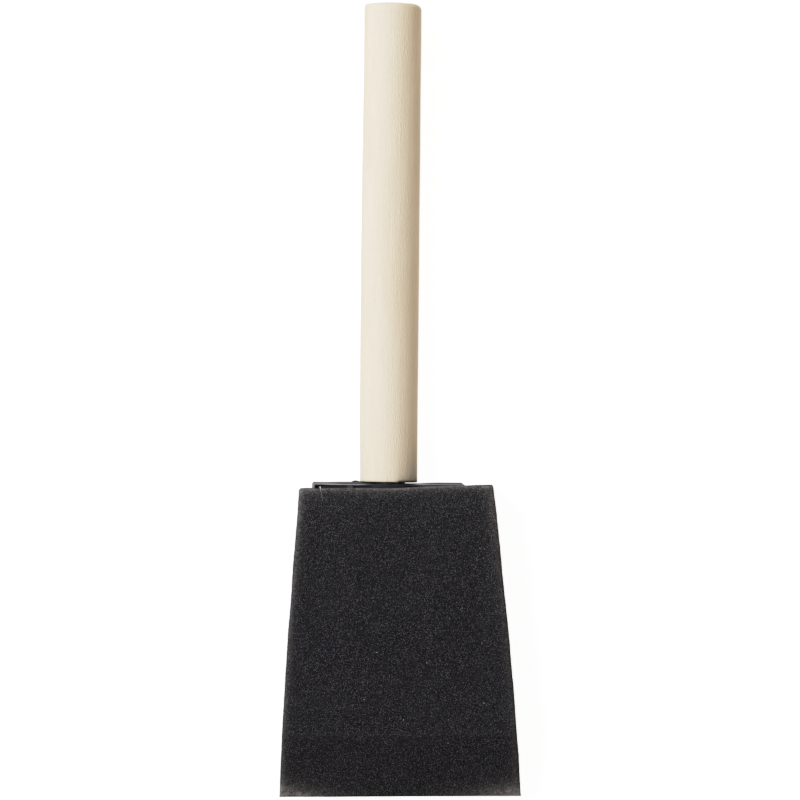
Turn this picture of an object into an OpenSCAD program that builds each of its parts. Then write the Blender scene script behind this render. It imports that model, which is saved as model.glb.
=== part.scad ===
// A foam brush for paint and stain, lying on the back of its foam head.
// The origin is on that flat back face, under the handle's axis. +X is the width,
// +Y runs along the handle to its free end, and +Z is the thickness.
// Lengths are in millimetres.

/* [Handle] */
// Diameter of the round wooden handle
handle_d = 12.1; // [11:0.1:14]
// Length of the handle
handle_l = 101.3; // [80:0.1:160]
// Radius of the rounding on the handle's free end
handle_round = 1; // [0.4:0.1:2]
// Radius of the softened edge on the handle's lower end
handle_edge = 0.3; // [0.2:0.1:0.6]
// Diameter of the hole drilled up the handle for the stem
bore_d = 6.5; // [6.5:0.1:8]
// Depth of that hole, without its drill point
bore_depth = 22; // [21.5:0.5:30]

/* [Foam head] */
// Width of the foam at its heel, where the core goes in
heel_w = 41.1; // [38:0.1:46]
// Width of the foam at its painting tip
tip_w = 51; // [46:0.5:60]
// Length of the foam from heel to tip
foam_l = 65.6; // [62:0.2:80]
// Thickness of the foam over the core, which spreads it
foam_t = 16.5; // [15:0.5:20]
// Thickness of the foam beside and beyond the core
edge_t = 14.6; // [12:0.2:14.8]
// Length of the chisel bevel, from its ridge to the tip
bevel_l = 13.6; // [8:0.1:16]
// Thickness left at the chisel tip
tip_t = 0.7; // [0.4:0.1:2]
// How far each long side bows outward at its middle
side_bow = 0.3; // [0.2:0.1:1]
// Angle by which the foam is glued on askew
skew = 1.2; // [-2:0.1:2]
// Sideways distance from the handle's axis to the middle of the heel
heel_shift = 1.7; // [-2:0.1:2]

/* [Core] */
// Width of the core's blade
blade_w = 32.4; // [28:0.1:34]
// Length of the blade, from its top edge to its nose
blade_l = 40.8; // [34:0.2:42]
// Thickness of the blade over its rim and ribs
blade_t = 4; // [3:0.5:5]
// Thickness of the thin web between the ribs
web_t = 1.4; // [1:0.2:2]
// Width of the raised rim around the blade
rim_w = 0.7; // [0.6:0.05:1.5]
// How far the blade's top edge stands out of the heel at its middle
blade_stand = 0.95; // [0.5:0.05:2]
// Distance from the blade's top edge to the end of the handle
handle_gap = 0.2; // [0.2:0.05:1]
// Diameter of the stem over its grip ribs
stem_d = 6.4; // [5.6:0.1:6.4]
// Length of the stem above the blade
stem_l = 21; // [14:0.5:21.5]

/* [Hidden] */
$fn = 64;

over = 1;                         // how far a cutting solid reaches past a face
axis_z = foam_t / 2;              // height of the handle's axis and of the blade's middle
pocket_depth = blade_l - blade_stand;
heel_y = pocket_depth / 2;        // the origin is midway along the flat back face
blade_y = heel_y + blade_stand;   // top edge of the blade
handle_y = blade_y + handle_gap;  // lower end of the handle
spread = (foam_t - edge_t) / 2;   // how far the core spreads each face of the foam

// Steps in a quarter of a rounded corner, and in a smooth rise
corner_steps = 6;
rise_steps = 8;

// Core details
top_corner_r = 1;                 // corners beside the stem
least_corner_r = 0.2;             // sharpest that they get inside the rim
nose_corner_r = 6;                // corners deep in the foam
nose_taper_l = 6;                 // length over which the nose thins
nose_t = 2;                       // thickness of the nose at its end
side_rib_w = 1.4;
side_rib_x = blade_w / 4;
gusset_top_w = 7;                 // central rib where it carries the stem
gusset_low_w = 2.4;               // central rib at the nose
stem_core_d = stem_d - 1;
stem_rib_w = 1.2;
stem_ribs = 4;
stem_rib_turn = 45;               // from the blade's plane to the first rib
stem_lead = 1.2;                  // length of the tapered lead at the stem's end
pocket_gap = 0.05;                // foam pocket's clearance around the blade

// Foam crown: it is flat over the middle, and falls away past the core's ends
crown_flat_x = 10;
crown_fall_x = blade_w / 2 + 2;

// Hot-melt beads in the blade's panels
bead_w = 3.6;
bead_l = 24;
bead_drop = 5;                    // from the blade's top edge to the beads' top
bead_x = [0.33, 0.75];            // places across each half of the blade

// Adhesive under the handle, with a bead squeezed out on one side
collar_inset = 0.35;              // from the handle's side to the adhesive's edge
collar_r = handle_d / 2 - collar_inset;
collar_end_x = 3.45;              // the adhesive stops here, short of the handle's edge
lump_w = 1.8;
lump_h = 0.55;
lump_gap = 0.1;                   // between the squeezed-out bead and the handle
lump_x = -handle_d / 2 - lump_gap - lump_w / 2;
bridge_w = 2.2;                   // skin of adhesive from the collar to the lump
bridge_h = 0.15;

drill_point_angle = 118;

// Points of an arc about c from angle a to angle b
function arc(c, r, a, b, steps) =
    [for (i = [0:steps]) c + r * [cos(a + (b - a) * i / steps), sin(a + (b - a) * i / steps)]];

// Smooth rise from 0 to 1 as t goes from 0 to 1
function ease(t) = (1 - cos(180 * t)) / 2;

// Outline of the blade, its top edge on y = 0, moved inward by inset
function blade_outline(inset) =
    let (
        x = blade_w / 2 - inset,
        top = -inset,
        low = -blade_l + inset,
        rt = max(top_corner_r - inset, least_corner_r),
        rn = nose_corner_r - inset
    )
    concat(
        arc([x - rt, top - rt], rt, 0, 90, corner_steps),
        arc([rt - x, top - rt], rt, 90, 180, corner_steps),
        arc([rn - x, low + rn], rn, 180, 270, corner_steps),
        arc([x - rn, low + rn], rn, 270, 360, corner_steps)
    );

// One long side of the foam from heel to tip, bowed outward by side_bow halfway
function foam_side(side) =
    [for (i = [0:rise_steps])
        let (t = i / rise_steps)
        [side * ((heel_w + (tip_w - heel_w) * t) / 2 + 4 * side_bow * t * (1 - t)), -foam_l * t]];

function reversed(points) = [for (i = [len(points) - 1:-1:0]) points[i]];

// Moves a child into the foam's own frame: heel on y = 0, tip towards -Y
module foam_frame() {
    translate([heel_shift, heel_y, axis_z])
        rotate([0, 0, skew])
            children();
}

// Moves a child from a frame with its axis on +Z to the handle's axis, at height y
module on_handle_axis(y) {
    translate([0, y, axis_z])
        rotate([-90, 0, 0])
            children();
}

// Stands a drawing of (y, z) up in its plane and gives it width along X
module along_x(width) {
    rotate([90, 0, 90])
        linear_extrude(width, center = true)
            children();
}

// Lays a drawing of the blade's plane flat, centred on the blade's middle
module in_blade(thickness) {
    translate([0, blade_y, axis_z])
        linear_extrude(thickness, center = true)
            children();
}

module handle() {
    r = handle_d / 2;
    bore_r = bore_d / 2;
    point_l = bore_r / tan(drill_point_angle / 2);
    color([0.9, 0.86, 0.76])
        on_handle_axis(handle_y)
            rotate_extrude()
                polygon(concat(
                    [[bore_r, 0]],
                    arc([r - handle_edge, handle_edge], handle_edge, -90, 0, corner_steps),
                    arc([r - handle_round, handle_l - handle_round], handle_round, 0, 90, corner_steps),
                    [
                        [0, handle_l],
                        [0, bore_depth + point_l],
                        [bore_r, bore_depth]
                    ]
                ));
}

module blade_rim() {
    in_blade(blade_t)
        difference() {
            polygon(blade_outline(0));
            polygon(blade_outline(rim_w));
        }
}

module blade_ribs() {
    panel_l = blade_l - rim_w;
    in_blade(blade_t) {
        for (side = [-1, 1])
            translate([side * side_rib_x - side_rib_w / 2, -panel_l])
                square([side_rib_w, panel_l - rim_w / 2]);
        polygon([
            [-gusset_top_w / 2, -rim_w / 2],
            [gusset_top_w / 2, -rim_w / 2],
            [gusset_low_w / 2, -panel_l],
            [-gusset_low_w / 2, -panel_l]
        ]);
    }
}

// The blade's envelope seen from the side, thinning towards the nose
module blade_side(gap) {
    half = blade_t / 2 + gap;
    nose = nose_t / 2 + gap;
    polygon([
        [over, half],
        [-blade_l + nose_taper_l, half],
        [-blade_l - gap, nose],
        [-blade_l - gap, -nose],
        [-blade_l + nose_taper_l, -half],
        [over, -half]
    ]);
}

// The stem is thicker than the blade, so its root stops just short of the foam's heel
module stem() {
    root = blade_stand - pocket_gap;
    on_handle_axis(blade_y) {
        translate([0, 0, -root])
            cylinder(d = stem_core_d, h = root + stem_l - stem_lead);
        translate([0, 0, stem_l - stem_lead])
            cylinder(d1 = stem_core_d, d2 = stem_core_d - stem_lead, h = stem_lead);
        for (i = [0:stem_ribs - 1])
            rotate([0, 0, stem_rib_turn + i * 360 / stem_ribs])
                translate([0, -stem_rib_w / 2, 0])
                    cube([stem_d / 2, stem_rib_w, stem_l - stem_lead]);
    }
}

module core() {
    color([0.08, 0.08, 0.09]) {
        intersection() {
            union() {
                in_blade(web_t)
                    polygon(blade_outline(0));
                blade_rim();
                blade_ribs();
            }
            translate([0, blade_y, axis_z])
                along_x(blade_w + 2 * over)
                    blade_side(0);
        }
        intersection() {
            stem();
            translate([0, blade_y, axis_z])
                rotate([-90, 0, 0])
                    translate([0, 0, -blade_t])
                        cylinder(d = stem_d, h = stem_l + blade_t);
        }
    }
}

module foam_pocket() {
    intersection() {
        in_blade(blade_t + 2 * pocket_gap)
            polygon(blade_outline(-pocket_gap));
        translate([0, blade_y, axis_z])
            along_x(blade_w + 2 * over)
                blade_side(pocket_gap);
    }
}

// Front outline, side profile and crown, each carried through the block
module foam_block() {
    ridge_y = -foam_l + bevel_l;
    core_end_y = -pocket_depth;
    side_half = [
        for (i = [0:rise_steps])
            let (t = i / rise_steps)
            [core_end_y + (ridge_y - core_end_y) * t, foam_t / 2 - spread * ease(t)]
    ];
    crown_half = [
        for (i = [0:rise_steps])
            let (t = i / rise_steps)
            [crown_flat_x + (crown_fall_x - crown_flat_x) * t, foam_t / 2 - spread * ease(t)]
    ];
    far_x = tip_w;
    intersection() {
        linear_extrude(foam_t + 2 * over, center = true)
            polygon(concat(foam_side(1), reversed(foam_side(-1))));
        along_x(tip_w + 4 * over) {
            upper = concat([[over, foam_t / 2]], side_half, [[-foam_l, tip_t / 2]]);
            polygon(concat(upper, reversed([for (p = upper) [p.x, -p.y]])));
        }
        rotate([90, 0, 0])
            linear_extrude(2 * foam_l + 4 * over, center = true) {
                right = concat(crown_half, [[far_x, edge_t / 2]]);
                upper = concat(reversed([for (p = right) [-p.x, p.y]]), right);
                polygon(concat(upper, reversed([for (p = upper) [p.x, -p.y]])));
            }
    }
}

module foam_head() {
    color([0.16, 0.16, 0.17])
        difference() {
            foam_frame()
                foam_block();
            foam_pocket();
        }
}

// Thin collar of adhesive that fills most of the gap under the handle
module handle_glue() {
    lump_r = (pow(lump_w / 2, 2) + pow(lump_h, 2)) / (2 * lump_h);
    color([0.05, 0.04, 0.04])
        difference() {
            union() {
                intersection() {
                    on_handle_axis(blade_y)
                        cylinder(r = collar_r, h = handle_gap);
                    translate([-handle_d, blade_y - over, axis_z - handle_d / 2])
                        cube([handle_d + collar_end_x, handle_gap + 2 * over, handle_d]);
                }
                translate([lump_x, blade_y, axis_z - bridge_w / 2])
                    cube([-lump_x - collar_r / 2, bridge_h, bridge_w]);
                translate([lump_x, blade_y + lump_h - lump_r, axis_z])
                    sphere(r = lump_r);
            }
            translate([lump_x - handle_d, blade_y - 2 * handle_d, axis_z - handle_d])
                cube([2 * handle_d, 2 * handle_d, 2 * handle_d]);
            on_handle_axis(blade_y - over)
                cylinder(d = stem_d, h = handle_gap + 2 * over);
        }
}

// Beads of hot-melt that hold one face of the blade's panels to the foam
module foam_glue(face) {
    half_w = blade_w / 2;
    bead_t = (blade_t - web_t) / 2;
    for (side = [-1, 1], place = bead_x)
        translate([
            side * place * half_w,
            blade_y - bead_drop,
            axis_z + face * (web_t + bead_t) / 2
        ])
            linear_extrude(bead_t, center = true)
                polygon(concat(
                    arc([0, -bead_w / 2], bead_w / 2, 0, 180, 2 * corner_steps),
                    arc([0, bead_w / 2 - bead_l], bead_w / 2, 180, 360, 2 * corner_steps)
                ));
}

module foam_glue_front() {
    color([0.75, 0.72, 0.65])
        foam_glue(1);
}

module foam_glue_back() {
    color([0.75, 0.72, 0.65])
        foam_glue(-1);
}

handle();
core();
foam_head();
handle_glue();
foam_glue_front();
foam_glue_back();
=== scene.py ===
"""A foam brush lying on its foam's back, seen straight from above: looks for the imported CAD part.

The row frame is the CAD's: +Y runs along the handle to its free end, +Z through the thickness, in
metres. Patterns in materials are worked out in millimetres.
"""
import math

import bpy
import numpy as np
from mathutils import Matrix, Vector, noise


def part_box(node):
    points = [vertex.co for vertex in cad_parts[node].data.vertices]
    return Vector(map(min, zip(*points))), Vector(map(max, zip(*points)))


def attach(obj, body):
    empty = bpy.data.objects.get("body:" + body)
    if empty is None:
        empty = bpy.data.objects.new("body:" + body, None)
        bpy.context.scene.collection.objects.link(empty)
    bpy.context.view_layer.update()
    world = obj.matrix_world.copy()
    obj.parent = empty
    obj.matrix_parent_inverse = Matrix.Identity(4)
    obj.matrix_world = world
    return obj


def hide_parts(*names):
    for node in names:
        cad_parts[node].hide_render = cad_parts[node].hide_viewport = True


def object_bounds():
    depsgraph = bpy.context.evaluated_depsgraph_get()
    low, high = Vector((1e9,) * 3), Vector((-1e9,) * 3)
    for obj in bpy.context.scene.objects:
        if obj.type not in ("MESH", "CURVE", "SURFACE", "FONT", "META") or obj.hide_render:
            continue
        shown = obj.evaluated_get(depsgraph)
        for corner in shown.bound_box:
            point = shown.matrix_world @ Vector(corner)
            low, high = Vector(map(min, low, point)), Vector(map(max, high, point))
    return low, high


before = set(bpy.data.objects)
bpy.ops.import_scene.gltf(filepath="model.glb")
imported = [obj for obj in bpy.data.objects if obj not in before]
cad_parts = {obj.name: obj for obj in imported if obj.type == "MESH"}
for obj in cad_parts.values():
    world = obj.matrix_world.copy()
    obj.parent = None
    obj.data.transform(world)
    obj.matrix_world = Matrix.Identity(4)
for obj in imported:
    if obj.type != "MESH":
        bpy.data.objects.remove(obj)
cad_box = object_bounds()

MM = 0.001

# Where the CAD has its parts
FOAM_LOW, FOAM_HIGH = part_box("foam_head")
HANDLE_LOW, HANDLE_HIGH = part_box("handle")
CORE_LOW, CORE_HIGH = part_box("core")
AXIS_Z = (HANDLE_LOW.z + HANDLE_HIGH.z) / 2
HANDLE_R = (HANDLE_HIGH.x - HANDLE_LOW.x) / 2
BLADE_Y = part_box("handle_glue")[0].y              # top edge of the core's blade

# Foam head, in its own frame: the middle of its heel at (0, 0), its tip towards -Y
SKEW = math.radians(1.2)
FOAM_L = 65.66 * MM
HEEL_W = 41.1 * MM
TIP_W = 51.0 * MM
SIDE_BOW = 0.3 * MM
BEVEL_L = 13.6 * MM
HEEL_X = 1.7 * MM
HEEL_Y = BLADE_Y - 0.93 * MM
CENTRE_HALF = (FOAM_HIGH.z - FOAM_LOW.z) / 2      # half thickness over the core
EDGE_HALF = CENTRE_HALF - 0.95 * MM               # and beside it
TIP_HALF = 0.35 * MM
HEEL_TILT = 0.0065                                # how far the heel's cut is out of square
TIP_TILT = -0.0070                                # and the tip's
CROWN_HALF = 7 * MM                               # half the width of the crown over the core
CROWN_FADE = 13 * MM                              # the stretch beside it over which it flattens
CROWN_END = -24 * MM                              # it also flattens from here to the bevel's ridge
EDGE_R = 1.0 * MM                                 # rounding of the foam's long edges
HEEL_R = 0.17 * MM                                # and of its heel
WAVES = ((9 * MM, 0.12 * MM), (1.6 * MM, 0.04 * MM))  # sizes and heights of its skin's waves
PORE = 0.62 * MM
PORE_DEPTH = 0.06 * MM
SKIN_FADE = 1.5 * MM                              # waves and pores fade out this close to the slot
HEEL_SAG = 0.25 * MM                              # dip of the heel beside the handle
HEEL_LIFT = 0.11 * MM                             # rise of the heel along the blade
HEEL_LIFT_SLOPE = 0.0025                          # and how much more of it there is towards +X
SIDES_OUT = 0.14 * MM                             # fullness of the tip half's sides
FOAM_STEP = 0.33 * MM                             # spacing of the rings in the foam's mesh
ACROSS = 150                                      # quads across a face of it
DEEP = 36                                         # and across a side
CORNER_STEPS = 3                                  # rings' points on each half of a rounded edge

# Core, with its top edge on y = 0 and its nose towards -Y
BLADE_W = CORE_HIGH.x - CORE_LOW.x
BLADE_L = BLADE_Y - CORE_LOW.y
BLADE_HALF = 2.0 * MM
WEB_HALF = 0.7 * MM
RIM_W = 0.66 * MM
TOP_CORNERS_R = (1.0 * MM, 0.4 * MM)              # at +X and at -X
NOSE_CORNER_R = 6.0 * MM
NOSE_TAPER_L = 6 * MM                             # stretch over which the blade thins to half
OUTLINE_STEP = 1.5 * MM                           # largest spacing of points in its outline
STEM_R = 2.7 * MM
STEM_RIB_R = 3.2 * MM
STEM_L = CORE_HIGH.y - BLADE_Y
STEM_AROUND = 96
GUSSET_TOP_W = 7.0 * MM                           # width of the central gusset at the top edge
GUSSET_NOSE_W = 2.4 * MM                          # and at the nose
RIB_W = 1.2 * MM
POCKET_GAP = 0.05 * MM                            # between the blade and the foam's slot
POCKET_DEPTH = BLADE_L - (BLADE_Y - HEEL_Y) + POCKET_GAP
SLOT_LIP = 0.25 * MM                              # rounding of the slot's edge

# Handle
HANDLE_AROUND = 144
BORE_R = 3.25 * MM                                # drilled hole for the stem
BORE_L = 22 * MM
DRILL_POINT = 1.6 * MM
SAWN_R = 0.2 * MM                                 # rounding of the sawn end
SAW_ERROR = 0.10 * MM                             # how far the sawn end is out of square, on +X
EASE_R = 0.95 * MM                                # rounding of the free end
EASE_CHANGE = 0.4 * MM                            # more of it on +X, and less on -X
WANDER = 0.035 * MM                               # unevenness of the dowel's surface
BULGE = 0.21 * MM                                 # extra fullness of its side on -X, at most

# Adhesive collar under the handle
COLLAR_AROUND = 120
COLLAR_INSET = 0.45 * MM                          # from the handle's surface to the disc's edge
COLLAR_WOBBLE = 0.25 * MM
COLLAR_STOP = 3.45 * MM                           # where the disc stops short on +X
BEAD_REACH = 8.0 * MM                             # how far the squeezed-out bead gets on -X
BEAD_CREST_R = 7.1 * MM                           # where it is thickest
BEAD_CREST = 0.3 * MM

# Camera: straight above, turned a little, with the brush nearly filling the picture
CAMERA_HEIGHT = 1.0
CAMERA_TURN = math.radians(0.543)
PICTURE_SIDE = 169.84 * MM                        # length seen across it at the handle's axis
FRAMING = Vector((-0.83 * MM, 0.35 * MM))         # from the part's middle to the picture's
LIGHTS_AIM = Vector((0, 0.03, 0))
FLOOR_GLOW = 1.15
WHITE_LEVEL = 1.20                                # scene light that the camera records as white
TONES = (                                         # scene light, and the share of white shown for it
    (0.2, 0.205), (0.41, 0.445), (0.6, 0.64), (0.8, 0.775), (1.03, 0.87), (1.12, 0.94),
)


# ---------------------------------------------------------------- helpers for meshes

def piece_from(name, vertices, faces, materials, smooth=True):
    """A mesh piece in the row frame."""
    mesh = bpy.data.meshes.new(name)
    mesh.from_pydata([tuple(v) for v in vertices], [], faces)
    mesh.validate()
    mesh.update()
    for material in materials:
        mesh.materials.append(material)
    if smooth:
        mesh.shade_smooth()
    obj = bpy.data.objects.new(name, mesh)
    bpy.context.scene.collection.objects.link(obj)
    return obj


def finish_piece(obj, replaced=()):
    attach(obj, "root")
    if replaced:
        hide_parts(*replaced)


def store(mesh, name, values):
    """Give every point of a mesh its own value, under a name that a material reads."""
    layer = mesh.attributes.new(name, "FLOAT", "POINT")
    layer.data.foreach_set("value", np.asarray(values, dtype=np.float32))


def smooth_step(t):
    t = np.clip(t, 0.0, 1.0)
    return t * t * t * (t * (6 * t - 15) + 10)


def near(distance, reach):
    """A share that falls from 1 as distance grows, to a third at about reach millimetres."""
    return np.exp(-distance / (reach * MM))


def plateau(x, start, rise, end, fall):
    """A share that rises from 0 at start, and falls back to 0 from end, all in millimetres."""
    up = smooth_step((x - start * MM) / (rise * MM))
    return up * (1 - smooth_step((x - end * MM) / (fall * MM)))


def ring_faces(rings, around):
    """Quads between successive closed rings of around vertices each."""
    faces = []
    for i in range(rings - 1):
        low = i * around
        for j in range(around):
            k = (j + 1) % around
            faces.append((low + j, low + k, low + around + k, low + around + j))
    return faces


def hashed(cells, salt):
    """A number from 0 to 1 for each row of three whole numbers."""
    h = cells[:, 0] * 73856093 ^ cells[:, 1] * 19349663 ^ cells[:, 2] * 83492791 ^ salt * 2654435761
    h = (h ^ h >> 16) * 0x45D9F3B & 0xFFFFFFFF
    h = (h ^ h >> 16) * 0x45D9F3B & 0xFFFFFFFF
    return (h ^ h >> 16 & 0xFFFF).astype(float) / 0xFFFFFFFF


def cell_distance(points, size):
    """Distance of each point, over size, to the nearest of scattered centres, one to a cell."""
    where = points / size
    base = np.floor(where).astype(np.int64)
    nearest = np.full(len(points), 9.0)
    for dx in (-1, 0, 1):
        for dy in (-1, 0, 1):
            for dz in (-1, 0, 1):
                cell = base + (dx, dy, dz)
                centre = cell + np.stack([hashed(cell, salt) for salt in (1, 2, 3)], axis=1)
                nearest = np.minimum(nearest, np.linalg.norm(where - centre, axis=1))
    return nearest


def soft_noise(points, size, seed):
    """Smooth noise from -1 to 1 with features of about size."""
    shift = Vector((seed * 17.3, seed * 5.1, seed * 9.7))
    return np.array([noise.noise(Vector(p) / size + shift) for p in points])


# ---------------------------------------------------------------- helpers for materials

class Surface:
    """A material whose patterns are worked out in millimetres of the row frame."""

    def __init__(self, name):
        self.material = bpy.data.materials.new(name)
        self.material.use_nodes = True
        self.tree = self.material.node_tree
        self.shader = self.tree.nodes["Principled BSDF"]
        coordinates = self.tree.nodes.new("ShaderNodeTexCoord")
        self.place = self.stretched(coordinates.outputs["Object"], (1 / MM,) * 3)

    def put(self, socket, value):
        if isinstance(value, bpy.types.NodeSocket):
            self.tree.links.new(value, socket)
        else:
            socket.default_value = value

    def set(self, **values):
        """Sets the shader's own inputs. An underscore in a name stands for a space."""
        for name, value in values.items():
            if isinstance(value, tuple):
                value = (*value, 1.0)
            self.put(self.shader.inputs[name.replace("_", " ")], value)

    def node(self, kind, **values):
        """A new node with inputs set by name, again with underscores for spaces."""
        node = self.tree.nodes.new("ShaderNode" + kind)
        for name, value in values.items():
            self.put(node.inputs[name.replace("_", " ")], value)
        return node

    def stretched(self, vector, scale, shift=(0, 0, 0)):
        node = self.node("Mapping", Vector=vector, Location=shift, Scale=scale)
        return node.outputs["Vector"]

    def noise(self, scale, detail=2.0, rough=0.5, place=None, warp=0.0):
        node = self.node(
            "TexNoise", Vector=place or self.place, Scale=scale, Detail=detail,
            Roughness=rough, Distortion=warp,
        )
        return node.outputs["Fac"]

    def cells(self, scale, output="Distance", place=None):
        """Distance to the nearest of scattered centres, or a colour drawn for each of them."""
        return self.node("TexVoronoi", Vector=place or self.place, Scale=scale).outputs[output]

    def ranged(self, value, low, high, to_low=0.0, to_high=1.0):
        """A value carried from the range low to high into to_low to to_high, and kept within it."""
        node = self.node(
            "MapRange", Value=value, From_Min=low, From_Max=high, To_Min=to_low, To_Max=to_high,
        )
        return node.outputs["Result"]

    def math(self, kind, first, second=0.0):
        node = self.node("Math")
        node.operation = kind
        self.put(node.inputs[0], first)
        self.put(node.inputs[1], second)
        return node.outputs[0]

    def times(self, first, second):
        return self.math("MULTIPLY", first, second)

    def mix(self, share, first, second):
        """The first colour, with this share of it replaced by the second."""
        node = self.node("Mix")
        node.data_type = "RGBA"
        self.put(node.inputs["Factor"], share)
        for socket, colour in ((node.inputs[6], first), (node.inputs[7], second)):
            self.put(socket, (*colour, 1.0) if isinstance(colour, tuple) else colour)
        return node.outputs[2]

    def attribute(self, name):
        node = self.node("Attribute")
        node.attribute_name = name
        return node.outputs["Fac"]

    def along(self, axis):
        return self.node("SeparateXYZ", Vector=self.place).outputs[axis]

    def bump(self, height, depth):
        """Bump from a height of 0 to 1 that stands for depth millimetres."""
        node = self.node("Bump", Strength=1.0, Distance=depth * MM, Height=height)
        self.put(self.shader.inputs["Normal"], node.outputs["Normal"])


# ---------------------------------------------------------------- materials

def foam_material():
    """Charcoal foam: dark pores, paler struts, painted glints, painted edge light and paler
    corners.
    """
    s = Surface("charcoal_foam")
    pores = s.ranged(s.cells(3.4), 0.18, 0.62)
    joints = s.ranged(s.cells(4.2), 0.10, 0.37, 1.0, 0.0)
    shine = s.ranged(s.cells(4.2, output="Color"), 0.06, 0.72)
    height = s.math("ADD", s.times(pores, 0.11), s.times(s.times(joints, shine), 0.89))
    strut = s.mix(s.noise(1.3, detail=1.0), (0.328, 0.268, 0.247), (0.273, 0.268, 0.287))
    # paler towards the heel, and brighter towards +X there, which is painted light
    strut = s.mix(s.times(s.attribute("heel_pale_and_lit"), 0.35), strut, (0.532, 0.486, 0.447))
    colour = s.mix(s.math("POWER", height, 1.38), (0.0011, 0.0011, 0.0013), strut)
    mottle = s.ranged(s.noise(1.1, detail=3.0), 0.35, 0.65, 0.35, 1.0)
    patchy = s.times(s.ranged(height, 0.05, 0.6, 0.4, 1.0), mottle)
    # painted highlights along the edges, heel and bevel's ridge, and paler tip corners, broken up
    # by the pores
    edge_light_and_corners = s.times(s.attribute("edge_light_and_corners"), patchy)
    colour = s.mix(edge_light_and_corners, colour, (0.36, 0.312, 0.270))
    # painted glints: a few cells get a pale grey that stands in for struts catching the light
    glints = ((1.3, 0.96, 0.13, 0.75), (1.9, 0.93, 0.17, 0.40))
    for per_mm, rarity, radius, grey in glints:       # the radius is over the spacing
        lit = s.math("GREATER_THAN", s.cells(per_mm, output="Color"), rarity)
        spot = s.math("LESS_THAN", s.cells(per_mm), radius)
        colour = s.mix(s.times(lit, spot), colour, (grey, grey, grey * 1.03))
    s.set(Base_Color=colour, Roughness=0.95, Specular_IOR_Level=0.04)
    s.bump(height, 0.12)
    return s.material


def wood_material():
    """Sanded birch: short fibres, faint long grain, dark flecks, a dark line and painted shade at
    its lower end.
    """
    s = Surface("birch_side_grain")
    grain = s.noise(2.6, detail=4.0, rough=0.6, place=s.stretched(s.place, (1, 0.04, 1)), warp=0.4)
    fibre = s.noise(5.5, detail=2.0, place=s.stretched(s.place, (1, 0.18, 1)))
    band = s.noise(0.32, detail=2.0, place=s.stretched(s.place, (1, 0.12, 1)))
    fleck_place = s.stretched(s.place, (1, 0.16, 1))
    fleck = s.times(
        s.math("GREATER_THAN", s.cells(1.7, output="Color", place=fleck_place), 0.86),
        s.ranged(s.cells(1.7, place=fleck_place), 0.10, 0.22, 1.0, 0.0),
    )
    colour = s.mix(s.ranged(grain, 0.3, 0.7), (0.600, 0.472, 0.323), (0.660, 0.536, 0.372))
    colour = s.mix(s.ranged(band, 0.35, 0.65, 0.0, 0.5), colour, (0.655, 0.538, 0.385))
    colour = s.mix(s.ranged(fibre, 0.42, 0.68, 0.0, 0.08), colour, (0.48, 0.37, 0.25))
    colour = s.mix(s.times(fleck, 0.3), colour, (0.40, 0.30, 0.19))
    # a dark line along the sawn end, and painted shade on the +X side above it
    colour = s.mix(s.attribute("dark_end_and_shade"), colour, (0.012, 0.010, 0.008))
    roughness = s.ranged(grain, 0.3, 0.7, 0.66, 0.54)
    s.set(Base_Color=colour, Specular_IOR_Level=0.12, Roughness=roughness)
    s.bump(s.math("ADD", s.times(grain, 0.3), s.times(fibre, 0.7)), 0.20)
    return s.material


def end_grain_material():
    """The dowel's cut end: arcs of growth rings, rays and open pores."""
    s = Surface("birch_end_grain")
    across = s.stretched(s.place, (1, 0.02, 1), shift=(9.0, 0.0, -3.0))
    wave = s.node(
        "TexWave", Vector=across, Scale=0.21, Distortion=2.2, Detail=3.0, Detail_Scale=0.35,
    )
    wave.wave_type = "RINGS"
    wave.rings_direction = "Y"
    rings = s.ranged(wave.outputs["Fac"], 0.55, 1.0, 0.0, 0.5)
    streaks = s.ranged(s.noise(1.4, detail=4.0, place=across), 0.4, 0.7, 0.0, 0.3)
    pores = s.ranged(s.cells(4.2, place=across), 0.14, 0.24, 1.0, 0.0)
    colour = s.mix(rings, (0.61, 0.50, 0.35), (0.50, 0.385, 0.245))
    colour = s.mix(streaks, colour, (0.52, 0.41, 0.27))
    colour = s.mix(s.times(pores, 0.5), colour, (0.30, 0.21, 0.13))
    s.set(Base_Color=colour, Roughness=0.72, Specular_IOR_Level=0.2)
    s.bump(s.math("SUBTRACT", s.noise(6.0, place=across), s.times(pores, 0.6)), 0.06)
    return s.material


def rim_highlight(s):
    """Share of painted highlight on the crest of the blade's rim, except under the handle, which
    shades it.
    Also the share that a stretch on -X has, where the highlight is paler and closer to the top
    edge."""
    x, y, z = s.along("X"), s.along("Y"), s.along("Z")
    depth = s.math("SUBTRACT", BLADE_Y / MM, y)
    across = s.math("ABSOLUTE", x)
    side = s.math("SUBTRACT", BLADE_W / 2 / MM, across)
    nearer = s.math("MINIMUM", depth, side)
    height = s.math("ABSOLUTE", s.math("SUBTRACT", z, AXIS_Z / MM))
    narrower = s.ranged(x, 3.0, 6.0, 0.0, 0.2)
    share = s.ranged(s.math("ADD", nearer, narrower), RIM_W / MM - 0.12, RIM_W / MM, 1.0, 0.0)
    paler = s.times(s.ranged(x, -14.0, -10.0), s.ranged(x, -5.0, 0.0, 1.0, 0.0))
    depth = s.math("SUBTRACT", depth, s.times(paler, 0.19))
    # the painted highlight keeps off the outermost edges, and fades under the handle, which shades
    # the rim
    limits = (
        s.ranged(depth, 0.12, 0.26),
        s.ranged(side, 0.20, 0.36),
        s.ranged(across, 4.3, 6.2, 0.1, 1.0),
        s.ranged(height, BLADE_HALF / MM - 0.5, BLADE_HALF / MM - 0.2),
    )
    for limit in limits:
        share = s.times(share, limit)
    return share, paler


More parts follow.
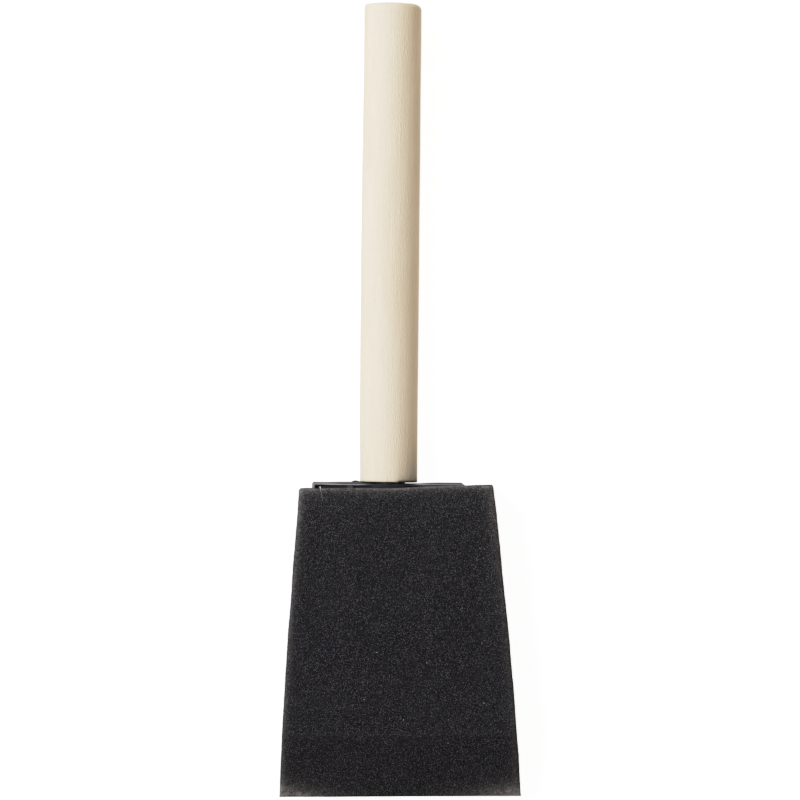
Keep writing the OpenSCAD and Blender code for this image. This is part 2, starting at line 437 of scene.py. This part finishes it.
def plastic_material():
    """Black moulded plastic with a fine skin, faint flow marks and a painted highlight on its rim.
    """
    s = Surface("black_moulded_plastic")
    skin = s.noise(7.0, detail=3.0)
    flow = s.noise(0.5, detail=3.0, place=s.stretched(s.place, (0.3, 1, 1)))
    colour = s.mix(s.ranged(flow, 0.35, 0.7), (0.026, 0.0228, 0.0200), (0.040, 0.0350, 0.0310))
    share, paler = rim_highlight(s)
    # painted highlight colours on the rim's crest, paler on the stretch on -X
    highlight_colour = s.mix(paler, (0.185, 0.160, 0.142), (0.50, 0.45, 0.41))
    colour = s.mix(share, colour, highlight_colour)
    roughness = s.ranged(skin, 0.3, 0.7, 0.38, 0.54)
    s.set(Base_Color=colour, Specular_IOR_Level=0.5, Roughness=roughness)
    s.bump(skin, 0.02)
    return s.material


def adhesive_material():
    """Dark adhesive, glossy and a little brown, with a lumpy skin."""
    s = Surface("dark_adhesive")
    lumps = s.noise(1.6, detail=3.0)
    colour = s.mix(s.ranged(lumps, 0.3, 0.7), (0.002, 0.0017, 0.0013), (0.008, 0.0062, 0.0045))
    roughness = s.ranged(lumps, 0.3, 0.7, 0.30, 0.50)
    s.set(Base_Color=colour, Specular_IOR_Level=0.14, Roughness=roughness)
    s.bump(lumps, 0.08)
    return s.material


def hot_melt_material():
    """Milky hot-melt adhesive with small trapped bubbles."""
    s = Surface("milky_hot_melt")
    bubbles = s.ranged(s.cells(2.5), 0.12, 0.25, 1.0, 0.0)
    colour = s.mix(s.noise(0.9, detail=3.0), (0.62, 0.59, 0.50), (0.78, 0.76, 0.69))
    colour = s.mix(s.times(bubbles, 0.4), colour, (0.85, 0.84, 0.80))
    s.set(Base_Color=colour, Roughness=0.32)
    s.bump(bubbles, 0.05)
    return s.material


# ---------------------------------------------------------------- foam head

def foam_half_width(t):
    """Half the foam's width, t of the way from heel to tip."""
    return (HEEL_W + (TIP_W - HEEL_W) * t) / 2 + 4 * SIDE_BOW * t * (1 - t)


def foam_half_thickness(x, y):
    """Half the foam's thickness at a place on its face: crowned over the core, thin at the tip."""
    ridge = -FOAM_L + BEVEL_L
    beyond_x = smooth_step((np.abs(x) - CROWN_HALF) / CROWN_FADE)
    beyond_y = smooth_step((y - CROWN_END) / (ridge - CROWN_END))
    crowned = EDGE_HALF + (CENTRE_HALF - EDGE_HALF) * (1 - beyond_x) * (1 - beyond_y)
    down_bevel = np.clip((ridge - y) / BEVEL_L, 0, 1)
    return crowned + (TIP_HALF - crowned) * down_bevel


def loop(half_w, half_h, r, y):
    """A closed ring at y with rounded corners: the front from -X to +X, the side on +X, the back,
    and the side on -X. half_h is a function of x."""
    turn = np.linspace(0, math.pi / 4, CORNER_STEPS + 1)[1:]
    across = np.linspace(-1, 1, ACROSS + 1 - 2 * CORNER_STEPS) * (half_w - r)
    bent = half_w - r + r * np.sin(turn)
    x = np.concatenate([-bent[::-1], across, bent])
    drop = r - r * np.cos(turn)
    drops = np.concatenate([drop[::-1], np.zeros(len(across)), drop])
    front = np.stack([x, np.full(len(x), y), half_h(x) - drops], axis=1)
    edge = half_h(np.array([half_w]))[0]
    down = np.linspace(1, -1, DEEP + 1 - 2 * CORNER_STEPS) * (edge - r)
    bent = edge - r + r * np.sin(turn)
    z = np.concatenate([bent[::-1], down, -bent])
    pull = np.concatenate([drop[::-1], np.zeros(len(down)), drop])
    right = np.stack([half_w - pull, np.full(len(z), y), z], axis=1)
    back = front[::-1] * (1, 1, -1)
    left = right[::-1] * (-1, 1, 1)
    return np.concatenate([front[:-1], right[:-1], back[:-1], left[:-1]])


def outer_ring(y, inset=0.0):
    """The foam's section at y, the heel's rounded edge drawn in by inset."""
    half_w = foam_half_width(-y / FOAM_L) - inset
    edge = foam_half_thickness(np.array([half_w]), y)[0] - inset
    r = min(EDGE_R, 0.6 * edge)
    return loop(half_w, lambda x: foam_half_thickness(x, y) - inset, r, y)


def blade_centre(y):
    """Where the core's middle line lies in the foam's own frame, which is glued on askew."""
    return math.sin(SKEW) * y - HEEL_X


def pocket_ring(y, gap):
    """A section of the slot that holds the core's blade, wider than the blade by gap."""
    into_corner = max(NOSE_CORNER_R - (y + POCKET_DEPTH), 0.0)
    lost = NOSE_CORNER_R - math.sqrt(max(NOSE_CORNER_R ** 2 - into_corner ** 2, 0.0))
    half_w = BLADE_W / 2 - lost + gap
    half = BLADE_HALF * blade_taper(y - (BLADE_Y - HEEL_Y)) + gap
    return loop(half_w, lambda x: np.full(len(x), half), 0.3 * MM, y) + (blade_centre(y), 0, 0)


def foam_rings():
    """The foam's surface as rings: from the tip up the outside, over the heel and down the slot."""
    rings = [outer_ring(-y) for y in np.arange(FOAM_L, HEEL_R, -FOAM_STEP)]
    for a in np.linspace(0, math.pi / 2, 5):
        rings.append(outer_ring(-HEEL_R * (1 - math.sin(a)), HEEL_R * (1 - math.cos(a))))
    rim = rings[-1]
    lip = pocket_ring(0.0, POCKET_GAP + SLOT_LIP)
    for share in np.linspace(0, 1, 19)[1:]:
        rings.append(rim + (lip - rim) * share)
    for a in np.linspace(0, math.pi / 2, 4)[1:]:
        gap = POCKET_GAP + SLOT_LIP * (1 - math.sin(a))
        rings.append(pocket_ring(-SLOT_LIP * (1 - math.cos(a)), gap))
    for y in np.linspace(-2 * SLOT_LIP, -POCKET_DEPTH, 24):
        rings.append(pocket_ring(y, POCKET_GAP))
    return rings


def foam_mesh():
    """Vertices and quads of the foam, with a grid over the tip's narrow end."""
    rings = foam_rings()
    around = len(rings[0])
    faces = ring_faces(len(rings), around)
    faces.append(tuple(reversed(range((len(rings) - 1) * around, len(rings) * around))))
    tip = rings[0]
    index = np.zeros((DEEP + 1, ACROSS + 1), int)
    index[0] = np.arange(ACROSS + 1)
    index[DEEP] = np.arange(ACROSS + DEEP, 2 * ACROSS + DEEP + 1)[::-1]
    index[:, ACROSS] = np.arange(ACROSS, ACROSS + DEEP + 1)
    index[1:, 0] = np.arange(2 * ACROSS + DEEP, around)[::-1]
    count = len(rings) * around
    filling = []
    for i in range(1, DEEP):
        share = i / DEEP
        filling.append(tip[index[0, 1:ACROSS]] * (1 - share) + tip[index[DEEP, 1:ACROSS]] * share)
        index[i, 1:ACROSS] = count + np.arange(ACROSS - 1)
        count += ACROSS - 1
    for i in range(DEEP):
        for j in range(ACROSS):
            corners = (index[i, j], index[i + 1, j], index[i + 1, j + 1], index[i, j + 1])
            faces.append(tuple(int(k) for k in corners))
    return np.concatenate(rings + filling), [tuple(reversed(f)) for f in faces]


def to_row_frame(points):
    """From the foam's own frame to the row's, with its two end cuts a little out of square."""
    share = np.clip(-points[:, 1] / FOAM_L, 0, 1)
    tilt = HEEL_TILT + (TIP_TILT - HEEL_TILT) * share
    cut = points + np.outer(tilt * points[:, 0], (0, 1, 0))
    turn = Matrix.Rotation(SKEW, 3, "Z")
    return cut @ np.array(turn.transposed()) + (HEEL_X, HEEL_Y, AXIS_Z)


def with_skin(points, placed, normals):
    """The placed points moved along their normals by waves and pores, which fade out towards the
    slot and are weaker at the tip's edge."""
    pores = 1 - np.clip(cell_distance(placed, PORE) / 0.55, 0, 1)
    pores -= pores.mean()
    waves = np.zeros(len(points))
    for seed, (size, height) in enumerate(WAVES, 1):
        waves += soft_noise(placed, size, seed) * height
    from_tip = FOAM_L + points[:, 1]
    beside_slot = np.abs(points[:, 0] - blade_centre(points[:, 1])) - BLADE_W / 2
    from_slot = np.maximum(np.abs(points[:, 2]) - BLADE_HALF, beside_slot)
    share = np.where(from_tip < BEVEL_L, 1.0, np.clip(from_slot / SKIN_FADE, 0, 1))
    share = share * (1 - 0.6 * near(from_tip, 1.5))
    return placed + normals * (share * (waves - PORE_DEPTH * pores))[:, None]


def heel_rise(points, placed):
    """How far the heel departs from its cut: it sags by the handle and lifts along the blade."""
    x = placed[:, 0]
    beside = x - 2 * MM
    spread = np.where(beside < 0, 9 * MM, 3.6 * MM)
    sag = HEEL_SAG * np.exp(-(beside / spread) ** 2)
    over_blade = 1 - smooth_step((np.abs(x) - 15 * MM) / (2 * MM))
    lift = (HEEL_LIFT + HEEL_LIFT_SLOPE * x) * over_blade
    return (lift - sag) * near(-points[:, 1], 3)


def side_shift(points, t):
    """How far the sides depart from their lines: out in the tip half, and in on +X at the heel."""
    across = points[:, 0] / foam_half_width(t)
    trimmed = near(-points[:, 1], 7) * np.clip(across, 0, 1) ** 3
    return SIDES_OUT * (across * smooth_step((t - 0.3) / 0.3) - trimmed)


def foam_painted_light(points, t):
    """Painted highlights on edges, heel and ridge, paler tip corners; paler near the heel, painted
    light on +X.
    """
    from_heel = -points[:, 1]
    from_tip = FOAM_L - from_heel
    from_side = foam_half_width(t) - np.abs(points[:, 0])
    from_face = foam_half_thickness(points[:, 0], points[:, 1]) - np.abs(points[:, 2])
    from_face = np.clip(from_face, 0, 1)
    # paler at the two corners of the tip
    corner = 2.8 * near(from_side, 5.0) * near(from_tip, 1.3) * near(from_face, 1.5)
    # painted highlight along the bevel's ridge
    ridge = 0.05 * np.exp(-((from_tip - BEVEL_L) / (0.4 * MM)) ** 2)
    # painted highlight along the long edges, stronger towards the heel
    rim = 1.2 * (0.35 + 0.65 * near(from_heel, 15)) * near(from_side, 0.7) * near(from_face, 0.9)
    # painted highlight on the heel's rounded edge
    heel = (0.75 * near(from_heel, 0.35) + 0.18 * near(from_heel, 1.2)) * near(from_face, 0.5)
    edge_light_and_corners = np.clip(corner + ridge + rim + heel, 0, 1)
    # painted light: brighter towards +X near the heel
    on_right = 0.45 + 1.3 * np.clip(points[:, 0] / (20 * MM), 0, 1)
    pale_and_lit = (0.55 * near(from_heel, 4) + on_right * near(from_heel, 20)) * near(from_face, 2)
    return edge_light_and_corners, pale_and_lit


def make_foam(material):
    """The foam block, with its slot, its skin's relief, and the shares of painted light and
    paleness that its material reads.
    """
    points, faces = foam_mesh()
    placed = to_row_frame(points)
    obj = piece_from("foam_block", placed, faces, [material])
    mesh = obj.data
    normals = np.zeros(len(points) * 3)
    mesh.vertices.foreach_get("normal", normals)
    t = -points[:, 1] / FOAM_L
    moved = with_skin(points, placed, normals.reshape(-1, 3))
    moved[:, 1] += heel_rise(points, placed)
    moved[:, 0] += side_shift(points, t)
    mesh.vertices.foreach_set("co", moved.ravel())
    mesh.update()
    edge_light_and_corners, pale_and_lit = foam_painted_light(points, t)
    store(mesh, "edge_light_and_corners", edge_light_and_corners)
    store(mesh, "heel_pale_and_lit", pale_and_lit)
    finish_piece(obj, ["foam_head"])


# ---------------------------------------------------------------- wooden handle

def dowel_rings(angles):
    """The dowel's surface as rings: down the drilled hole, over the sawn end, up the outside and
    over the eased end. Also the numbers of the rings where each end's face starts or stops."""
    low, high = HANDLE_LOW.y, HANDLE_HIGH.y
    bore_top = low + BORE_L
    out_of_square = SAW_ERROR * smooth_step(np.cos(angles) * 1.5)
    ease = EASE_R + EASE_CHANGE * np.cos(angles)
    on_left = np.clip(-np.cos(angles), 0, 1) ** 2
    rings = []

    def ring(radius, y):
        r = np.broadcast_to(radius, angles.shape)
        h = np.broadcast_to(y, angles.shape)
        rings.append(np.stack([r * np.cos(angles), h, AXIS_Z + r * np.sin(angles)], axis=1))

    ring(0.3 * MM, bore_top + DRILL_POINT)
    ring(BORE_R, bore_top)
    ring(BORE_R, low + 0.1 * MM)
    ring(BORE_R + 0.1 * MM, low - out_of_square * 0.6)
    bored = len(rings)
    for r in np.linspace(BORE_R + 0.6 * MM, HANDLE_R - 0.3 * MM, 5):
        ring(r, low - out_of_square * r / HANDLE_R)
    sawn = len(rings)
    for a in np.linspace(0, math.pi / 2, 4)[1:]:
        y = low + SAWN_R * (1 - math.cos(a)) - out_of_square
        ring(HANDLE_R - SAWN_R * (1 - math.sin(a)), y)
    for y in np.linspace(low + 0.6 * MM, high - 1.6 * MM, 120):
        places = [Vector((math.cos(a), y / (25 * MM), math.sin(a))) for a in angles]
        uneven = WANDER * np.array([noise.noise(place) for place in places]) - 0.01 * MM
        share = (y - low) / (high - low)
        fuller = smooth_step(share / 0.15) * (1 - smooth_step((share - 0.45) / 0.5))
        ring(HANDLE_R + uneven + BULGE * fuller * on_left, y)
    for a in np.linspace(0, math.pi / 2, 9):
        ring(HANDLE_R - ease * (1 - math.cos(a)), high - ease * (1 - math.sin(a)))
    eased = len(rings) - 3
    for share in (0.75, 0.5, 0.25, 0.05):
        ring((HANDLE_R - ease) * share, high)
    return rings, bored, sawn, eased


def end_darkening(vertices):
    """How dark the lower end is: a dark line along the sawn end, and painted shade above it on +X.
    """
    x, up = vertices[:, 0], np.clip(vertices[:, 1] - HANDLE_LOW.y, 0, 1)
    on_right = smooth_step(x / (2.0 * MM) - 0.5)
    far_right = smooth_step(x / (2.0 * MM) - 1.4)
    line = np.exp(-(up / (0.36 * MM)) ** 2) * (0.15 + 0.85 * on_right)
    # painted shade on the +X side above the lower end, where the foam shades the dowel
    painted_shade = (0.22 * near(up, 1.0) + 0.16 * near(up, 7)) * on_right
    # and more painted shade further out on +X
    return np.clip(line + painted_shade + 0.16 * near(up, 1.6) * far_right, 0, 1)


def make_handle(side, end):
    """A sanded dowel: its free end's edge is eased unevenly, its lower end is sawn and drilled."""
    around = HANDLE_AROUND
    angles = np.linspace(0, 2 * math.pi, around, endpoint=False)
    rings, bored, sawn, eased = dowel_rings(angles)
    count = len(rings)
    vertices = np.concatenate(rings)
    faces = [tuple(reversed(f)) for f in ring_faces(count, around)]
    faces.append(tuple(range(around)))
    faces.append(tuple(reversed(range((count - 1) * around, count * around))))
    obj = piece_from("birch_handle", vertices, faces, [side, end])
    store(obj.data, "dark_end_and_shade", end_darkening(vertices))
    for number, polygon in enumerate(obj.data.polygons):
        ring_number = number // around
        on_end = bored <= ring_number < sawn or ring_number >= eased
        polygon.material_index = int(on_end)
    finish_piece(obj, ["handle"])


# ---------------------------------------------------------------- plastic core

def blade_outline(inset):
    """The blade's outline, moved inward by inset."""
    x, top, nose = BLADE_W / 2 - inset, -inset, -BLADE_L + inset
    right_r, left_r = [max(r - inset, 0.15 * MM) for r in TOP_CORNERS_R]
    nose_r = NOSE_CORNER_R - inset
    corners = [                                   # centre, radius, and the angle it starts at
        ((x - right_r, top - right_r), right_r, 0),
        ((left_r - x, top - left_r), left_r, 90),
        ((nose_r - x, nose + nose_r), nose_r, 180),
        ((x - nose_r, nose + nose_r), nose_r, 270),
    ]
    arcs = []
    for (cx, cy), r, start in corners:
        turn = np.radians(np.linspace(start, start + 90, 9))
        arcs.append(np.stack([cx + r * np.cos(turn), cy + r * np.sin(turn)], axis=1))
    points = []
    for k, arc in enumerate(arcs):
        following = arcs[(k + 1) % 4][0]
        side = BLADE_W if k % 2 == 0 else BLADE_L
        steps = int(side / OUTLINE_STEP) + 1
        between = [arc[-1] + (following - arc[-1]) * i / steps for i in range(1, steps)]
        points.append(np.concatenate([arc, np.array(between)]))
    return np.concatenate(points)


def blade_taper(y):
    """How thick the blade is at y beside its full thickness: it thins towards its nose."""
    return 1 - 0.5 * smooth_step((-y - BLADE_L + NOSE_TAPER_L) / NOSE_TAPER_L)


def top_edge_lift(points):
    """How far the blade's top edge departs from straight: on +X it dips beside the stem and rises
    further out, and on -X it rises between the stem and the corner."""
    x, y = points[:, 0], points[:, 1]
    right = 0.11 * smooth_step((x - 2 * MM) / (10 * MM))
    left = 0.08 * plateau(x, -13, 3, -6, 2)
    dip = 0.13 * plateau(x, 2, 1.5, 6, 4.5)
    return (right + left - dip) * MM * np.clip(1 + y / (4 * MM), 0, 1)


def blade_mesh():
    """A plate with a round bead for a rim, as rings from the middle of one web to the other's."""
    bead_r = RIM_W / 2
    bead = [(bead_r * (1 - math.cos(a)), BLADE_HALF - bead_r * (1 - math.sin(a)))
            for a in np.linspace(0, math.pi, 11)]
    foot = [(RIM_W + 0.05 * MM, WEB_HALF + 0.15 * MM), (RIM_W + 0.25 * MM, WEB_HALF)]
    face = [(0.0, 0.0)] + bead + foot
    whole = [(inset, -z) for inset, z in reversed(face[1:])] + face
    rings = []
    for inset, z in whole:
        outline = blade_outline(inset)
        rings.append(np.column_stack([outline, z * blade_taper(outline[:, 1])]))
    around = len(rings[0])
    vertices = np.concatenate(rings)
    vertices[:, 1] += top_edge_lift(vertices)
    faces = ring_faces(len(rings), around)
    faces.append(tuple(reversed(range(around))))
    faces.append(tuple(range((len(rings) - 1) * around, len(rings) * around)))
    return vertices, faces


def prism(outline, half):
    """A flat shape in x and y, given thickness 2 * half."""
    n = len(outline)
    low = [(x, y, -half) for x, y in outline]
    high = [(x, y, half) for x, y in outline]
    faces = ring_faces(2, n)
    return low + high, faces + [tuple(reversed(range(n))), tuple(range(n, 2 * n))]


def strip(centre, top_w, nose_w):
    """The outline of a strip down the blade between the crests of its rim."""
    top, nose = -RIM_W / 2, -BLADE_L + RIM_W / 2
    return [
        (centre - top_w / 2, top), (centre - nose_w / 2, nose),
        (centre + nose_w / 2, nose), (centre + top_w / 2, top),
    ]


def stem_mesh():
    """The stem, with four grip ribs and a tapered lead."""
    around = STEM_AROUND
    angles = np.linspace(0, 2 * math.pi, around, endpoint=False)
    ribs = np.clip(np.cos(4 * (angles - math.pi / 4)) * 4 - 3, 0, 1)
    rings = []
    lead = STEM_L - 1.2 * MM
    for y, swell, scale in ((-0.3 * MM, 1, 1), (lead, 1, 1), (STEM_L, 0, 0.78)):
        r = (STEM_R + (STEM_RIB_R - STEM_R) * ribs * swell) * scale
        rings.append(np.stack([r * np.cos(angles), np.full(around, y), r * np.sin(angles)], axis=1))
    faces = [tuple(reversed(f)) for f in ring_faces(3, around)]
    faces.append(tuple(range(around)))
    faces.append(tuple(reversed(range(2 * around, 3 * around))))
    return np.concatenate(rings), faces


def make_core(material):
    """The blade, its gusset and ribs, and the stem, joined into one solid."""
    parts = [
        blade_mesh(),
        prism(strip(0.0, GUSSET_TOP_W, GUSSET_NOSE_W), BLADE_HALF - 0.06 * MM),
        prism(strip(-BLADE_W / 4, RIB_W, RIB_W), BLADE_HALF - 0.55 * MM),
        prism(strip(BLADE_W / 4, RIB_W, RIB_W), BLADE_HALF - 0.55 * MM),
        stem_mesh(),
    ]
    to_row = (0, BLADE_Y, AXIS_Z)
    core, *others = [
        piece_from("core_part", np.array(vertices) + to_row, faces, [material], smooth=False)
        for vertices, faces in parts
    ]
    for other in others:
        union = core.modifiers.new("union", "BOOLEAN")
        union.operation = "UNION"
        union.solver = "EXACT"
        union.object = other
        bpy.context.view_layer.update()
        evaluated = core.evaluated_get(bpy.context.evaluated_depsgraph_get())
        joined = bpy.data.meshes.new_from_object(evaluated)
        core.modifiers.clear()
        core.data = joined
        bpy.data.objects.remove(other)
    core.name = "moulded_core"
    core.data.shade_smooth()
    core.data.set_sharp_from_angle(angle=math.radians(38))
    finish_piece(core, ["core"])


# ---------------------------------------------------------------- adhesives

def collar_reach(a):
    """How far the collar gets from the handle's axis in the direction a."""
    wobble = noise.noise(Vector((math.cos(a) * 2, math.sin(a) * 2, 3.0)))
    r = HANDLE_R - COLLAR_INSET + COLLAR_WOBBLE * wobble
    if math.cos(a) > 0:
        r = min(r, COLLAR_STOP / math.cos(a))
    lobe = math.exp(-((math.pi - a) / 0.16) ** 2)
    return r + (BEAD_REACH - r) * lobe


def make_collar(material):
    """Adhesive between blade and handle: a thin uneven disc, with a bead squeezed out on -X."""
    around, steps = COLLAR_AROUND, 26
    angles = np.linspace(0, 2 * math.pi, around, endpoint=False)
    half = (HANDLE_LOW.y - BLADE_Y) / 2
    inner = STEM_RIB_R - 0.3 * MM
    reach = np.array([collar_reach(a) for a in angles])
    tops, bottoms = [], []
    for k in range(steps + 1):
        r = inner + (reach - inner) * k / steps
        edge = np.sqrt(1 - np.clip((r - (reach - half)) / half, 0, 1) ** 2)
        outside = np.clip((r - HANDLE_R) / (0.3 * MM), 0, 1)
        crest = BEAD_CREST * np.exp(-((r - BEAD_CREST_R) / (0.62 * MM)) ** 2) * outside
        high = half * edge * (1 - outside * 0.8) + crest * edge
        low = -half * np.where(r < HANDLE_R, edge, 1)
        for heights, rows in ((high, tops), (low, bottoms)):
            y = BLADE_Y + half + heights
            rows.append(np.stack([r * np.cos(angles), y, AXIS_Z + r * np.sin(angles)], axis=1))
    rings = bottoms + tops[::-1]
    faces = ring_faces(len(rings) + 1, around)
    count = len(rings) * around
    faces = [tuple(k % count for k in face) for face in faces]
    obj = piece_from("adhesive_collar", np.concatenate(rings), faces, [material])
    finish_piece(obj, ["handle_glue"])


def tube(name, route, radii, material):
    """A round strand along route, thick as radii say."""
    sides = 10
    rings = []
    for k, point in enumerate(route):
        ahead = route[min(k + 1, len(route) - 1)] - route[max(k - 1, 0)]
        turn = ahead.to_track_quat("Z", "Y")
        for j in range(sides):
            a = 2 * math.pi * j / sides
            rings.append(point + turn @ (Vector((math.cos(a), math.sin(a), 0)) * radii[k]))
    faces = ring_faces(len(route), sides)
    faces.append(tuple(reversed(range(sides))))
    faces.append(tuple(range((len(route) - 1) * sides, len(route) * sides)))
    return piece_from(name, rings, faces, [material])


def make_wisp(material):
    """A hair of hot-melt drawn out of the slot's left end and down over the foam's heel."""
    front = AXIS_Z + CENTRE_HALF
    start = Vector((CORE_LOW.x + 1.75 * MM, HEEL_Y - 0.1 * MM, AXIS_Z + BLADE_HALF))
    stations = [                                  # place from start, and radius
        (0.0, -0.1, 0.0, 0.04), (0.0, 0.1, 1.2, 0.04), (0.05, 0.2, 3.2, 0.04),
        (0.05, 0.2, 5.0, 0.045), (0.05, 0.15, 6.0, 0.075), (0.08, -0.12, 6.2, 0.07),
        (0.12, -0.3, 6.2, 0.022), (0.3, -1.2, 6.1, 0.012), (0.45, -2.0, 6.1, 0.010),
        (0.6, -2.7, 6.1, 0.012),
    ]
    route = [start + Vector((x, y, z)) * MM for x, y, z, _ in stations]
    for point in route:
        point.z = min(point.z, front)
    obj = tube("hot_melt_wisp", route, [r * MM for *_, r in stations], material)
    finish_piece(obj)


def colour_beads(material):
    """The CAD's hot-melt beads show as they are, with this material."""
    for name in ("foam_glue_front", "foam_glue_back"):
        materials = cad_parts[name].data.materials
        materials.clear()
        materials.append(material)


# ---------------------------------------------------------------- studio

def make_camera():
    """A camera straight above the brush, far enough off to see it almost without perspective."""
    low, high = cad_box
    middle = (low + high) / 2
    data = bpy.data.cameras.new("camera")
    data.sensor_width = 36.0
    data.lens = data.sensor_width * CAMERA_HEIGHT / PICTURE_SIDE
    data.clip_start = 0.05
    camera = bpy.data.objects.new("camera", data)
    camera.location = (middle.x + FRAMING.x, middle.y + FRAMING.y, AXIS_Z + CAMERA_HEIGHT)
    camera.rotation_euler = (0, 0, CAMERA_TURN)
    bpy.context.scene.collection.objects.link(camera)
    bpy.context.scene.camera = camera


def softbox(name, place, size, watts, colour):
    """A rectangular area light that faces the brush."""
    data = bpy.data.lights.new(name, "AREA")
    data.shape = "RECTANGLE"
    data.size, data.size_y = size
    data.energy = watts
    data.color = colour
    lamp = bpy.data.objects.new(name, data)
    lamp.location = place
    lamp.rotation_euler = (LIGHTS_AIM - Vector(place)).to_track_quat("-Z", "Y").to_euler()
    bpy.context.scene.collection.objects.link(lamp)


def make_floor():
    """A white table that glows, so that it photographs white up to the object's edge."""
    bpy.ops.mesh.primitive_plane_add(size=8, location=(0, 0, -0.05 * MM))
    floor = bpy.context.object
    floor.name = "floor"
    surface = Surface("white_floor")
    surface.set(Base_Color=(0.10, 0.10, 0.10), Roughness=0.9, Specular_IOR_Level=0.1)
    surface.set(Emission_Color=(1.0, 1.0, 1.0), Emission_Strength=FLOOR_GLOW)
    floor.data.materials.append(surface.material)


def make_world():
    """Dim overhead, and white towards the horizon."""
    world = bpy.data.worlds.new("studio")
    world.use_nodes = True
    tree = world.node_tree
    background = tree.nodes["Background"]
    background.inputs["Color"].default_value = (1, 1, 1, 1)
    coordinates = tree.nodes.new("ShaderNodeTexCoord")
    split = tree.nodes.new("ShaderNodeSeparateXYZ")
    fade = tree.nodes.new("ShaderNodeMapRange")
    limits = {"From Min": 0.06, "From Max": 0.16, "To Min": 1.2, "To Max": 0.10}
    for name, value in limits.items():
        fade.inputs[name].default_value = value
    tree.links.new(coordinates.outputs["Generated"], split.inputs[0])
    tree.links.new(split.outputs["Z"], fade.inputs["Value"])
    tree.links.new(fade.outputs["Result"], background.inputs["Strength"])
    bpy.context.scene.world = world


def set_exposure():
    """A plain display transform, with the gentle shoulder that a camera gives bright tones."""
    view = bpy.context.scene.view_settings
    view.view_transform = "Standard"
    view.use_curve_mapping = True
    mapping = view.curve_mapping
    mapping.white_level = (WHITE_LEVEL,) * 3
    shoulder = mapping.curves[3]
    for scene_light, shown in TONES:
        shoulder.points.new(scene_light / WHITE_LEVEL, shown)
    mapping.update()


def make_studio():
    make_floor()
    make_world()
    softbox("key", (-0.72, 0.30, 1.05), (0.7, 0.7), 22.9, (0.97, 1.065, 1.24))
    softbox("strip", (0.0, 1.0, 0.85), (0.9, 0.16), 3.4, (1.0, 0.97, 0.92))
    softbox("fill", (0.8, -0.65, 0.75), (0.8, 0.8), 1.7, (1.0, 0.70, 0.32))
    set_exposure()


make_camera()
make_studio()
make_foam(foam_material())
make_handle(wood_material(), end_grain_material())
make_core(plastic_material())
make_collar(adhesive_material())
melt = hot_melt_material()
make_wisp(melt)
colour_beads(melt)
